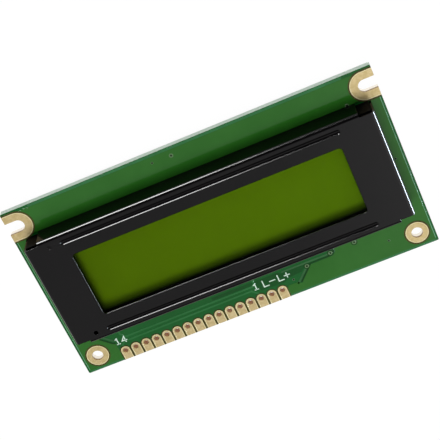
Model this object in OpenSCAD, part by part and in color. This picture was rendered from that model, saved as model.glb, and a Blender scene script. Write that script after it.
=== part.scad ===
// Character LCD module: two lines of sixteen characters, side-lit, on an 84 x 44 mm board.
// Millimetres, +Z out of the display, +X along the display towards the backlight contacts.
// The origin is the middle of the footprint, with Z = 0 at the tips of the bezel's twisted tabs,
// which are what the module lies on.

/* [Board] */
// Length of the board, along the display
board_l = 84; // [83:0.5:96]
// Width of the board, across the display
board_w = 44; // [43:0.5:54]
// Thickness of the board
board_t = 1.6; // [1.2:0.1:2.0]
// Thickness of the plated lands on each face
land_t = 0.06; // [0.04:0.01:0.1]

/* [Mounting holes and slots] */
// Radius of a mounting hole, inside its plating
hole_r = 1.25; // [1.1:0.05:1.5]
// Radius of the round land about a mounting hole
hole_land_r = 2.6; // [2.2:0.1:2.8]
// Distance of a mounting hole from the end of the board
hole_in_x = 3.8; // [3.5:0.1:4.5]
// Distance of a mounting hole from the contact edge of the board
hole_in_y = 3.6; // [3.2:0.1:4.5]
// Width of an open mounting slot, inside its plating
slot_w = 2.8; // [2.4:0.1:3.2]
// Depth of an open slot from the end of the board to its round end
slot_depth = 3.9; // [3.2:0.1:4.5]
// Distance of a slot's middle line from the far edge of the board
slot_in_y = 3.9; // [3.6:0.1:4.5]
// Half width of the land about a slot
slot_land_r = 3.25; // [2.6:0.05:3.4]

/* [Edge contacts] */
// Number of contacts in the row
contact_n = 16; // [14:1:16]
// Pitch of the contacts
contact_pitch = 2.54; // [2.5:0.01:2.54]
// Width of one contact
contact_w = 2.2; // [1.9:0.05:2.3]
// Radius of a contact's hole, inside its plating
contact_r = 0.58; // [0.56:0.01:0.62]
// Distance of the row of holes from the board's edge
contact_in_y = 2.25; // [2.0:0.05:2.6]
// Distance of the first hole from the end of the board
contact_in_x = 10.1; // [10:0.1:12]

/* [Bezel] */
// Length of the bezel, outside
bezel_l = 78.9; // [78:0.1:80]
// Width of the bezel, outside
bezel_w = 27.1; // [26.9:0.1:27.4]
// Height of the bezel's face above the board
bezel_rise = 5.8; // [5.7:0.1:6.2]
// Thickness of the sheet
sheet_t = 0.4; // [0.35:0.05:0.45]
// Outer radius of the folds
fold_r = 0.75; // [0.5:0.05:0.8]
// Distance of the display's middle line from the board's middle, towards the slots
display_y = 1.75; // [1.5:0.05:1.75]
// Length of the notch in each corner of the face
relief_l = 3.3; // [3:0.1:3.6]
// Width of the notch in each corner of the face
relief_w = 0.85; // [0.8:0.05:1.0]
// Length of the window
window_l = 61; // [58:0.5:62]
// Width of the window
window_w = 16; // [14:0.5:16.5]
// Corner radius of the window
window_r = 0.8; // [0.4:0.1:1.2]
// Rounding of the window's rim
rim_t = 0.08; // [0.08:0.02:0.2]

/* [Stiffening grooves] */
// Length of a groove
groove_l = 63; // [56:0.5:64]
// Width of a groove at the face
groove_w = 1.1; // [1.0:0.05:1.2]
// Depth of a groove
groove_depth = 0.3; // [0.2:0.05:0.3]
// Distance of a groove from the display's middle line
groove_off = 11.5; // [11.3:0.1:11.5]

/* [Tabs] */
// Width of a tab's head
tab_w = 2.7; // [2.4:0.1:2.9]
// Width of a tab's neck, where it twists
tab_neck_w = 1.3; // [1.0:0.1:1.6]
// Turn of a tab's head below the board
tab_twist = 42; // [30:1:60]
// How far the tabs stand below the board
tab_drop = 1.6; // [1.6:0.1:2]

/* [Cell and backlight] */
// Length of both glass plates
glass_l = 70; // [69:0.5:70.5]
// Width of the front glass, which carries the contact ledges
front_glass_w = 24.4; // [24.2:0.1:24.6]
// Width of the rear glass
rear_glass_w = 19.2; // [18.6:0.1:19.6]
// Thickness of one glass plate
glass_t = 1.1; // [1.0:0.05:1.1]
// Gap between the glass plates
cell_gap = 0.1; // [0.05:0.01:0.1]
// Thickness of one polarizer
polarizer_t = 0.2; // [0.15:0.05:0.2]
// Thickness of the diffuser film
diffuser_t = 0.2; // [0.15:0.05:0.2]
// Thickness of the reflector film
reflector_t = 0.15; // [0.1:0.05:0.2]

/* [Back of the board] */
// Radius of an epoxy dome
dome_r = 7.6; // [6:0.1:8]
// Height of an epoxy dome
dome_h = 1.35; // [1.0:0.05:1.5]
// Distance of each dome from the board's middle
dome_x = 14.5; // [13:0.5:16]

/* [Hidden] */
$fn = 64;
eps = 0.01;

// Heights
board_z0 = tab_drop;
board_z1 = board_z0 + board_t;
face_z1 = board_z1 + bezel_rise;
face_z0 = face_z1 - sheet_t;
front_glass_z1 = face_z0 - groove_depth;
front_glass_z0 = front_glass_z1 - glass_t;
rear_glass_z1 = front_glass_z0 - cell_gap;
rear_glass_z0 = rear_glass_z1 - glass_t;
rear_polarizer_z0 = rear_glass_z0 - polarizer_t;
diffuser_z0 = rear_polarizer_z0 - diffuser_t;
guide_z0 = board_z1 + reflector_t;

// Places on the board
contact_y = -board_w / 2 + contact_in_y;
contact_x0 = -board_l / 2 + contact_in_x;
hole_x = board_l / 2 - hole_in_x;
hole_y = -board_w / 2 + hole_in_y;
slot_y = board_w / 2 - slot_in_y;
slot_x = board_l / 2 - slot_depth + slot_w / 2;
plating_t = 0.05;
board_r = 0.3;

// Bezel walls and tabs
end_wall_w = bezel_w - 2 * relief_w;
long_wall_l = bezel_l - 2 * relief_l;
tab_x = [-28.85, 1.3, 28.85];
tab_y = bezel_w / 2 - sheet_t / 2;
tab_slot_l = tab_w + 0.4;
tab_slot_w = sheet_t + 0.35;

// Frame, backlight and cell outlines
frame_gap = 0.15;
frame_l = bezel_l - 2 * (sheet_t + frame_gap);
frame_w = bezel_w - 2 * (sheet_t + frame_gap);
frame_step = fold_r - sheet_t;
pocket_gap = 0.15;
zebra_l = 64;
zebra_w = 1.4;
guide_l = 70;
guide_w = 19.4;
film_l = 66;
film_w = 18.4;
seal_w = 1.2;
led_n = 4;
led_pitch = 4.6;
led_l = 2.8;
led_w = 1.0;
led_x0 = guide_l / 2;
led_board_t = 0.6;
led_board_l = 17.6;
pin_r = 0.3;
pin_off = 7.0;
pin_x = led_x0 + led_w + led_board_t + pin_r;
pin_drop = 1.0;
pin_hole_r = 0.5;

// Radius of an arc or a ball that is half_w wide on each side at a height h above its lowest point
function cap_radius(half_w, h) = (half_w * half_w + h * h) / (2 * h);

// Section of a groove: the radius of its arc, and the depth of the flat on which it bears on the glass
groove_r = cap_radius(groove_w / 2, groove_depth);
bearing_t = 0.03;

// Marks in the bezel's face, in line with the grooves
mark_x = -34.15;
mark_hole_r = 0.5;
mark_dimple_r = 0.4;
mark_dimple_depth = 0.2;
mark_ball_r = cap_radius(mark_dimple_r, mark_dimple_depth);

// Chips and small parts on the back
die_l = 3.4;
die_t = 0.45;
resistor = [2.0, 1.25, 0.5];
capacitor = [2.0, 1.25, 0.9];
resistor_x = [-26, -22.5, -19, -15.5, -12];
resistor_y = -12.6;
bias_x = [26.5, 30.5, 34.5];
bias_y = -9.5;
capacitor_x = [25.5, 29.5];
capacitor_y = 9.2;
solder_h = 0.4;

// A rectangle with round corners
module round_rect(l, w, r) {
    union() {
        square([l - 2 * r, w], center = true);
        square([l, w - 2 * r], center = true);
        for (x = [-1, 1], y = [-1, 1])
            translate([x * (l / 2 - r), y * (w / 2 - r)]) circle(r = r);
    }
}

// A plate centred on the display's middle line
module display_plate(l, w, z0, z1) {
    translate([-l / 2, display_y - w / 2, z0]) cube([l, w, z1 - z0]);
}

// A wedge-sided bar along X: width w0 at the bottom and w1 at the top
module tapered_bar(l, w0, w1, h) {
    translate([-l / 2, 0, 0]) rotate([90, 0, 90]) linear_extrude(height = l)
        polygon([[-w0 / 2, 0], [w0 / 2, 0], [w1 / 2, h], [-w1 / 2, h]]);
}

// A round bar along X with a ball at each end, its lowest line at z = 0
module ball_ended_bar(l, r) {
    translate([0, 0, r]) {
        rotate([0, 90, 0]) cylinder(h = l, r = r, center = true);
        for (side = [-1, 1])
            translate([side * l / 2, 0, 0]) sphere(r = r);
    }
}

// A round-cornered rectangle whose four sides slope out by h over the height h
module flared_rect(l, w, r, h) {
    union() {
        tapered_bar(l - 2 * r, w, w + 2 * h, h);
        rotate([0, 0, 90]) tapered_bar(w - 2 * r, l, l + 2 * h, h);
        for (x = [-1, 1], y = [-1, 1])
            translate([x * (l / 2 - r), y * (w / 2 - r), 0]) cylinder(h = h, r1 = r, r2 = r + h);
    }
}

// Every contact's place, and every tab's place
module at_contacts() {
    for (i = [0 : contact_n - 1])
        translate([contact_x0 + i * contact_pitch, contact_y, 0]) children();
}

module at_tabs() {
    for (x = tab_x, side = [-1, 1])
        translate([x, display_y + side * tab_y, 0]) children();
}

module at_pins() {
    for (side = [-1, 1])
        translate([pin_x, display_y + side * pin_off, 0]) children();
}

module at_resistors() {
    for (x = resistor_x) translate([x, resistor_y, 0]) rotate([0, 0, 90]) children();
    for (x = bias_x) translate([x, bias_y, 0]) children();
}

module at_capacitors() {
    for (x = capacitor_x) translate([x, capacitor_y, 0]) rotate([0, 0, 90]) children();
}

// Both open slots with a round end of radius r, cut off at the ends of the board
module slot_outline(r) {
    intersection() {
        for (side = [-1, 1]) {
            translate([side * slot_x, slot_y]) circle(r = r);
            translate([side > 0 ? slot_x : -board_l / 2, slot_y - r])
                square([board_l / 2 - slot_x, 2 * r]);
        }
        square([board_l, board_w], center = true);
    }
}

module contact_outline() {
    circle(r = contact_w / 2);
    translate([-contact_w / 2, -contact_in_y]) square([contact_w, contact_in_y]);
}

// Both faces of the board get the same land
module both_faces() {
    translate([0, 0, board_z1]) linear_extrude(height = land_t) children();
    translate([0, 0, board_z0 - land_t]) linear_extrude(height = land_t) children();
}

// Plating in a hole, from the face of one land to the other
module barrel(r) {
    translate([0, 0, board_z0 - land_t]) difference() {
        cylinder(h = board_t + 2 * land_t, r = r + plating_t);
        translate([0, 0, -eps]) cylinder(h = board_t + 2 * land_t + 2 * eps, r = r);
    }
}

module pcb() {
    color("forestgreen")
        translate([0, 0, board_z0]) linear_extrude(height = board_t)
            difference() {
                round_rect(board_l, board_w, board_r);
                for (side = [-1, 1])
                    translate([side * hole_x, hole_y]) circle(r = hole_r + plating_t);
                for (side = [-1, 1]) {
                    translate([side * slot_x, slot_y]) circle(r = slot_w / 2 + plating_t);
                    translate([side > 0 ? slot_x : -board_l / 2 - 1, slot_y - slot_w / 2 - plating_t])
                        square([board_l / 2 - slot_x + 1, slot_w + 2 * plating_t]);
                }
                at_contacts() circle(r = contact_r + plating_t);
                at_tabs() square([tab_slot_l, tab_slot_w], center = true);
                at_pins() circle(r = pin_hole_r);
            }
}

module edge_contacts() {
    color("tan") {
        both_faces()
            difference() {
                at_contacts() contact_outline();
                at_contacts() circle(r = contact_r + plating_t);
            }
        at_contacts() barrel(contact_r);
    }
}

module mounting_lands() {
    color("tan") {
        both_faces()
            difference() {
                union() {
                    for (side = [-1, 1])
                        translate([side * hole_x, hole_y]) circle(r = hole_land_r);
                    slot_outline(slot_land_r);
                }
                for (side = [-1, 1])
                    translate([side * hole_x, hole_y]) circle(r = hole_r + plating_t);
                slot_outline(slot_w / 2 + plating_t);
            }
        for (side = [-1, 1])
            translate([side * hole_x, hole_y, 0]) barrel(hole_r);
        translate([0, 0, board_z0 - land_t]) linear_extrude(height = board_t + 2 * land_t)
            difference() {
                slot_outline(slot_w / 2 + plating_t);
                slot_outline(slot_w / 2);
            }
    }
}

// Section of the folded sheet across one pair of walls, w wide outside
module folded_section(w) {
    wall_h = face_z1 - board_z1;
    difference() {
        union() {
            translate([-w / 2, board_z1]) square([w, wall_h - fold_r]);
            translate([-w / 2 + fold_r, board_z1]) square([w - 2 * fold_r, wall_h]);
            for (side = [-1, 1])
                translate([side * (w / 2 - fold_r), face_z1 - fold_r]) circle(r = fold_r);
        }
        translate([-w / 2 + sheet_t, board_z1 - 1]) square([w - 2 * sheet_t, 1 + wall_h - fold_r]);
        translate([-w / 2 + fold_r, board_z1 - 1]) square([w - 2 * fold_r, 1 + wall_h - sheet_t]);
        for (side = [-1, 1])
            translate([side * (w / 2 - fold_r), face_z1 - fold_r]) circle(r = fold_r - sheet_t);
    }
}

// The sheet with its four walls, open at the corners
module folded_sheet() {
    translate([-long_wall_l / 2, display_y, 0]) rotate([90, 0, 90])
        linear_extrude(height = long_wall_l) folded_section(bezel_w);
    translate([0, display_y + end_wall_w / 2, 0]) rotate([90, 0, 0])
        linear_extrude(height = end_wall_w) folded_section(bezel_l);
}

// The space that a groove takes out of the face
module groove_hollow() {
    translate([0, 0, face_z1 - groove_depth]) ball_ended_bar(groove_l - groove_w, groove_r);
}

// The pressed sheet under a groove, down to its flat bearing on the glass
module groove_back() {
    intersection() {
        translate([0, 0, front_glass_z1 - bearing_t])
            ball_ended_bar(groove_l - groove_w, groove_r + sheet_t + bearing_t);
        translate([-groove_l / 2 - sheet_t, -(groove_w + 0.3) / 2, front_glass_z1])
            cube([groove_l + 2 * sheet_t, groove_w + 0.3, groove_depth + eps]);
    }
}

// A neck through the board, and a head turned about the neck to lock under it
module twisted_tab() {
    translate([-tab_neck_w / 2, -sheet_t / 2, board_z0 - 0.3])
        cube([tab_neck_w, sheet_t, board_t + 0.3 + eps]);
    translate([-tab_w / 2, -sheet_t / 2, board_z1 - 0.35]) cube([tab_w, sheet_t, 0.35 + eps]);
    rotate([0, 0, tab_twist])
        translate([-tab_w / 2, -sheet_t / 2, 0]) cube([tab_w, sheet_t, board_z0]);
}

module bezel() {
    color([0.13, 0.12, 0.13]) {
        difference() {
            union() {
                folded_sheet();
                for (side = [-1, 1])
                    translate([0, display_y + side * groove_off, 0]) groove_back();
            }
            translate([0, display_y, face_z0 - 1]) linear_extrude(height = 2)
                round_rect(window_l, window_w, window_r);
            translate([0, display_y, face_z1 - rim_t]) flared_rect(window_l, window_w, window_r, rim_t + eps);
            for (side = [-1, 1])
                translate([0, display_y + side * groove_off, 0]) groove_hollow();
            translate([mark_x, display_y - groove_off, face_z0 - 1]) cylinder(h = 2, r = mark_hole_r);
            translate([mark_x, display_y + groove_off, face_z1 - mark_dimple_depth + mark_ball_r])
                sphere(r = mark_ball_r);
        }
        at_tabs() twisted_tab();
    }
}

// The moulded frame: it carries the cell, holds the zebra strips upright and walls in the backlight.
// A step round its top keeps it clear of the folds.
module lcd_frame() {
    pocket_l = glass_l + 2 * pocket_gap;
    light_l = guide_l + 2 * pocket_gap;
    color([0.1, 0.1, 0.11])
        difference() {
            union() {
                display_plate(frame_l, frame_w, board_z1, face_z0 - frame_step);
                display_plate(frame_l - 2 * frame_step, frame_w - 2 * frame_step, board_z1, face_z0);
            }
            display_plate(pocket_l, front_glass_w + 2 * pocket_gap, front_glass_z0, face_z1);
            display_plate(pocket_l, rear_glass_w + 2 * pocket_gap, rear_glass_z0, face_z1);
            display_plate(light_l, guide_w + 2 * pocket_gap, board_z1 - 1, rear_glass_z0 + eps);
            for (side = [-1, 1])
                translate([-zebra_l / 2, display_y + side * groove_off - zebra_w / 2, board_z1 - 1])
                    cube([zebra_l, zebra_w, bezel_rise + 1]);
            translate([led_x0 - eps, display_y - led_board_l / 2 - pocket_gap, board_z1 - 1])
                cube([led_w + led_board_t + 2 * pin_r + pocket_gap, led_board_l + 2 * pocket_gap,
                      diffuser_z0 - board_z1 + 1]);
        }
}

module front_polarizer() {
    color("darkolivegreen")
        display_plate(film_l, film_w, front_glass_z1, front_glass_z1 + polarizer_t);
}

module front_glass() {
    color([0.75, 0.82, 0.72]) display_plate(glass_l, front_glass_w, front_glass_z0, front_glass_z1);
}

module cell_seal() {
    inner_l = glass_l - 2 * seal_w;
    inner_w = rear_glass_w - 2 * seal_w;
    color([0.85, 0.85, 0.8])
        difference() {
            display_plate(glass_l, rear_glass_w, rear_glass_z1, front_glass_z0);
            display_plate(inner_l, inner_w, rear_glass_z1 - 1, front_glass_z0 + 1);
        }
}

module rear_glass() {
    color([0.75, 0.82, 0.72]) display_plate(glass_l, rear_glass_w, rear_glass_z0, rear_glass_z1);
}

module rear_polarizer() {
    color([0.5, 0.55, 0.3]) display_plate(film_l, film_w, rear_polarizer_z0, rear_glass_z0);
}

module diffuser_film() {
    color("ivory") display_plate(film_l, film_w, diffuser_z0, rear_polarizer_z0);
}

module light_guide() {
    color([0.85, 0.92, 0.85]) display_plate(guide_l, guide_w, guide_z0, diffuser_z0);
}

module reflector_film() {
    color("white") display_plate(guide_l, guide_w, board_z1, guide_z0);
}

// A strip standing on its edge at the end of the light guide
module led_board() {
    color("white")
        translate([led_x0 + led_w, display_y - led_board_l / 2, guide_z0])
            cube([led_board_t, led_board_l, diffuser_z0 - guide_z0]);
}

module backlight_leds() {
    led_z = (guide_z0 + diffuser_z0) / 2;
    color("gold")
        for (i = [0 : led_n - 1])
            translate([led_x0, display_y + (i - (led_n - 1) / 2) * led_pitch - led_l / 2, led_z - 0.5])
                cube([led_w, led_l, 1.0]);
}

module backlight_pins() {
    color("silver")
        at_pins() translate([0, 0, board_z0 - pin_drop])
            cylinder(h = diffuser_z0 - 0.4 - board_z0 + pin_drop, r = pin_r, $fn = 32);
}

// Cones of solder round the pins on the back
module pin_solder() {
    color("silver")
        at_pins() translate([0, 0, board_z0 - 0.7])
            difference() {
                cylinder(h = 0.7, r1 = 0.45, r2 = 1.0, $fn = 32);
                translate([0, 0, -eps]) cylinder(h = 0.7 + 2 * eps, r = pin_r, $fn = 32);
            }
}

// Silicone strips that press the board's contacts to the glass
module zebra_strip(side) {
    color([0.85, 0.6, 0.6])
        translate([-zebra_l / 2, display_y + side * groove_off - zebra_w / 2, board_z1])
            cube([zebra_l, zebra_w, front_glass_z0 - board_z1]);
}

module zebra_strip_slot_side() {
    zebra_strip(1);
}

module zebra_strip_contact_side() {
    zebra_strip(-1);
}

// A square block under the board, from its lower face down by die_t and up by over
module die_block(x, over) {
    translate([x - die_l / 2, -die_l / 2, board_z0 - die_t]) cube([die_l, die_l, die_t + over]);
}

module die(x) {
    color("dimgray") die_block(x, 0);
}

// A drop of epoxy that has set over a chip: a cap of a large sphere, hollow where the chip is
module epoxy(x) {
    sphere_r = cap_radius(dome_r, dome_h);
    color([0.06, 0.06, 0.06])
        difference() {
            translate([x, 0, board_z0]) rotate_extrude($fn = 128)
                intersection() {
                    translate([0, sphere_r - dome_h]) circle(r = sphere_r, $fn = 720);
                    translate([0, -dome_h - 1]) square([dome_r + 1, dome_h + 1]);
                }
            die_block(x, 1);
        }
}

module controller_die() {
    die(-dome_x);
}

module controller_epoxy() {
    epoxy(-dome_x);
}

module driver_die() {
    die(dome_x);
}

module driver_epoxy() {
    epoxy(dome_x);
}

module chip(size) {
    translate([-size[0] / 2, -size[1] / 2, board_z0 - size[2]]) cube(size);
}

module chip_resistors() {
    color([0.12, 0.12, 0.13]) at_resistors() chip(resistor);
}

module chip_capacitors() {
    color([0.7, 0.6, 0.45]) at_capacitors() chip(capacitor);
}

// A wedge of solder at each end of a chip
module chip_joints(size) {
    for (side = [0, 1])
        mirror([side, 0, 0])
            translate([size[0] / 2, size[1] / 2, board_z0]) rotate([90, 0, 0])
                linear_extrude(height = size[1])
                    polygon([[0, 0], [0.45, 0], [0.12, -solder_h * 0.6], [0, -solder_h]]);
}

module chip_solder() {
    color("silver") {
        at_resistors() chip_joints(resistor);
        at_capacitors() chip_joints(capacitor);
    }
}

pcb();
edge_contacts();
mounting_lands();
bezel();
lcd_frame();
front_polarizer();
front_glass();
cell_seal();
rear_glass();
rear_polarizer();
diffuser_film();
light_guide();
reflector_film();
led_board();
backlight_leds();
backlight_pins();
pin_solder();
zebra_strip_slot_side();
zebra_strip_contact_side();
controller_die();
controller_epoxy();
driver_die();
driver_epoxy();
chip_resistors();
chip_capacitors();
chip_solder();
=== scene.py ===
# %% [markdown]
# # A character display module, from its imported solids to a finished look
# The object is a green circuit board, 84 by 44 mm. A folded black steel bezel holds a
# two-line liquid-crystal display on it, and sixteen plated contacts run along one edge.
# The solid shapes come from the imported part. This lesson adds what a solid has no room
# for: copper tracks under the green mask, printed letters, and finishes. Sizes are in mm.

import math

import bmesh
import bpy
from mathutils import Matrix, Vector
from mathutils.geometry import tessellate_polygon


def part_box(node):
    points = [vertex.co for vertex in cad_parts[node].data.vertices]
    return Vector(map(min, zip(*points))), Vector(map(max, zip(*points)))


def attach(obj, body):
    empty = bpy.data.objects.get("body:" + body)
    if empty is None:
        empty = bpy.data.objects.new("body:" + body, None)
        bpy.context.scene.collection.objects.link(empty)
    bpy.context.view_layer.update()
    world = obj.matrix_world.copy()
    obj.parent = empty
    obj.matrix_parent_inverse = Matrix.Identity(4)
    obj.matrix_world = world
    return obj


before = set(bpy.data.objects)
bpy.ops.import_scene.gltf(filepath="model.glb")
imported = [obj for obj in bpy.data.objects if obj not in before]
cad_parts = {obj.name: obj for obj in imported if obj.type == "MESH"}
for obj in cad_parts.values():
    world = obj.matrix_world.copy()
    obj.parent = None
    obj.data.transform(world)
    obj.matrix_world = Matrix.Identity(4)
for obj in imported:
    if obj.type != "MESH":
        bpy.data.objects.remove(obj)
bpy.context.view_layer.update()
MM = 0.001

# %% [markdown]
# The board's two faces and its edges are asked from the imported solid, so the tracks and
# letters follow it if the board is made thicker or longer.

# %% Measure the board and the bezel
def box_mm(node):
    low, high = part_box(node)
    return low / MM, high / MM


board_low, board_high = box_mm("pcb")
frame_low, frame_high = box_mm("lcd_frame")
front_z, back_z = board_high.z, board_low.z
half_l, half_w = board_high.x, board_high.y
print("board faces at", round(back_z, 2), "and", round(front_z, 2))

# %% [markdown]
# ## Small tools for finishes
# A colour is written as it looks on a screen and turned into linear light once. A finish is
# a small tree of nodes: one function adds a node, sets plain values, and links sockets.

# %% Colour and node helpers
def linear(hex_code):
    parts = [int(hex_code[i : i + 2], 16) / 255 for i in (1, 3, 5)]
    light = [c / 12.92 if c <= 0.04045 else ((c + 0.055) / 1.055) ** 2.4 for c in parts]
    return (*light, 1.0)


def add_node(tree, kind, inputs=None, **settings):
    made = tree.nodes.new("ShaderNode" + kind)
    for name, value in settings.items():
        setattr(made, name, value)
    for name, value in (inputs or {}).items():
        if isinstance(value, bpy.types.NodeSocket):
            tree.links.new(value, made.inputs[name])
        else:
            made.inputs[name].default_value = value
    return made


def new_finish(name):
    material = bpy.data.materials.new(name)
    material.use_nodes = True
    material.node_tree.nodes.clear()
    return material, material.node_tree


def close_finish(tree, surface):
    out = tree.nodes.new("ShaderNodeOutputMaterial")
    tree.links.new(surface, out.inputs["Surface"])


def place(tree):
    return add_node(tree, "TexCoord").outputs["Object"]


def per_metre(size_mm):
    """The scale at which a noise has patches of that size. A wave repeats about every third of it."""
    return 1 / (size_mm * MM)


WALL_BELOW = 0.3  # a face is a wall or an edge when its normal has less than this much Z


print("white is", linear("#ffffff"))

# %% [markdown]
# Most finishes here need the same three things: a colour that wanders a little between two
# tones, a roughness that wanders with it, and a fine grain that tilts the surface. Real
# paint, plastic and copper all have them, and a single flat colour looks like none of them.

# %% A finish with two tones and a grain
# patch_mm is the size of a patch of tone, grain_mm and grain_depth_mm are the grain's size and
# height, and edge_mm rounds sharp edges in the shading, as paint does when it pulls back.
def mottled(
    name, tone, other, patch_mm, rough, grain_mm, grain_depth_mm, metallic=0.0, ior=1.3,
    rough_spread=0.06, edge_mm=0.0,
):
    material, tree = new_finish(name)
    where = place(tree)
    patches = add_node(tree, "TexNoise", {
        "Vector": where, "Scale": per_metre(patch_mm), "Detail": 3.0, "Roughness": 0.6
    })
    spread = add_node(tree, "MapRange", {
        "Value": patches.outputs["Fac"], "From Min": 0.35, "From Max": 0.65
    })
    tones = add_node(
        tree, "Mix", {0: spread.outputs["Result"], 6: linear(tone), 7: linear(other)}, data_type="RGBA"
    )
    sheen = add_node(tree, "MapRange", {
        "Value": patches.outputs["Fac"], "To Min": rough - rough_spread, "To Max": rough + rough_spread
    })
    grain = add_node(tree, "TexNoise", {"Vector": where, "Scale": per_metre(grain_mm), "Detail": 2.0})
    tilt = add_node(tree, "Bump", {
        "Height": grain.outputs["Fac"], "Distance": grain_depth_mm * MM, "Strength": 1.0
    })
    if edge_mm:
        worn = add_node(tree, "Bevel", {"Radius": edge_mm * MM}, samples=8)
        tree.links.new(worn.outputs["Normal"], tilt.inputs["Normal"])
    body = add_node(
        tree,
        "BsdfPrincipled",
        {
            "Base Color": tones.outputs[2],
            "Roughness": sheen.outputs["Result"],
            "Metallic": metallic,
            "IOR": 1.5 if metallic > 0.5 else ior,
            "Normal": tilt.outputs["Normal"],
        },
    )
    close_finish(tree, body.outputs["BSDF"])
    return material


# %% [markdown]
# A imported solid keeps its mesh. Only the finish in its material slots is exchanged, so the
# part that is seen has exactly the shape and size of the imported part.

# %% Paint the imported solids
def paint(material, *nodes):
    for name in nodes:
        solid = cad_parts[name]
        for slot in solid.material_slots:
            slot.material = material
    print(material.name, "on", ", ".join(nodes))


# %% [markdown]
# ## The board
# The board is glass-epoxy laminate, 1.6 mm thick, with copper on both faces and green solder
# mask over it. The mask is a glossy ink, so the board mirrors the room a little. Over copper
# the green looks lighter and yellower than over bare resin. The sawn edges have no mask:
# there the pale resin shows, with faint layers of cloth. One finish could be made for each,
# but the board is one solid, so the direction that a face looks in chooses between them.

# %% Board finish
# The threads of the cloth lie about 0.6 mm apart, which is too fine to show, so the weave
# under the mask is drawn three times as coarse. The layers in the edge are 0.35 mm apart.
def mask_finish(name, tone, other, rough=0.07):
    material, tree = new_finish(name)
    where = place(tree)
    patches = add_node(tree, "TexNoise", {
        "Vector": where, "Scale": per_metre(7.0), "Detail": 3.0, "Roughness": 0.55
    })
    spread = add_node(tree, "MapRange", {
        "Value": patches.outputs["Fac"], "From Min": 0.35, "From Max": 0.65
    })
    tones = add_node(
        tree, "Mix", {0: spread.outputs["Result"], 6: linear(tone), 7: linear(other)}, data_type="RGBA"
    )
    warp = add_node(tree, "TexWave", {
        "Vector": where, "Scale": per_metre(5.5), "Distortion": 0.4
    }, bands_direction="X")
    weft = add_node(tree, "TexWave", {
        "Vector": where, "Scale": per_metre(6.5), "Distortion": 0.4
    }, bands_direction="Y")
    cloth = add_node(tree, "Math", {0: warp.outputs["Fac"], 1: weft.outputs["Fac"]}, operation="MAXIMUM")
    tilt = add_node(tree, "Bump", {
        "Height": cloth.outputs["Value"], "Distance": 0.0006 * MM, "Strength": 1.0
    })
    mask = add_node(
        tree,
        "BsdfPrincipled",
        {
            "Base Color": tones.outputs[2], "Roughness": rough, "IOR": 1.3,
            "Normal": tilt.outputs["Normal"],
        },
    )
    layers = add_node(tree, "TexWave", {
        "Vector": where, "Scale": per_metre(1.1), "Distortion": 1.5
    }, bands_direction="Z")
    sawn_tones = {0: layers.outputs["Fac"], 6: linear("#cfe6d3"), 7: linear("#d9ecdd")}
    resin_tones = add_node(tree, "Mix", sawn_tones, data_type="RGBA")
    resin = add_node(tree, "BsdfPrincipled", {"Base Color": resin_tones.outputs[2], "Roughness": 0.6})
    facing = add_node(tree, "NewGeometry")
    parts = add_node(tree, "SeparateXYZ", {"Vector": facing.outputs["Normal"]})
    upright = add_node(tree, "Math", {0: parts.outputs["Z"]}, operation="ABSOLUTE")
    is_edge = add_node(tree, "Math", {0: upright.outputs["Value"], 1: WALL_BELOW}, operation="LESS_THAN")
    both = add_node(tree, "MixShader", {
        0: is_edge.outputs["Value"], 1: mask.outputs["BSDF"], 2: resin.outputs["BSDF"]
    })
    close_finish(tree, both.outputs["Shader"])
    return material


# %% [markdown]
# The same mask looks different over copper, over a track, over bare resin and at an edge. One
# finish with a mask of many tones could follow the layout, but each area is a thin shape of
# its own here, so each has its own finish and stays easy to match.

# %% The greens of the mask
# Green solder mask, screen printed: the thinner it lies on the copper, the paler it looks.
# On tracks and along the board's edge it is thin, and over bare resin it is deep and dark.
mask_on_resin = mask_finish("green_mask_on_resin", "#08551c", "#0c5c22")
mask_on_copper = mottled(
    "green_mask_on_copper", "#26641b", "#2b6920", 9.0, 0.08, 0.25, 0.0003, rough_spread=0.01
)
mask_on_track = mottled(
    "green_mask_on_track", "#1f662f", "#276d37", 5.0, 0.1, 0.25, 0.0003, rough_spread=0.01
)
mask_on_strip = mottled(
    "green_mask_on_strip", "#2c5d33", "#326638", 5.0, 0.1, 0.25, 0.0003, rough_spread=0.01
)
mask_on_bare = mottled(
    "green_mask_on_bare_side", "#024613", "#044c17", 5.0, 0.08, 0.25, 0.0003, rough_spread=0.01
)
paint(mask_on_resin, "pcb")
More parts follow.
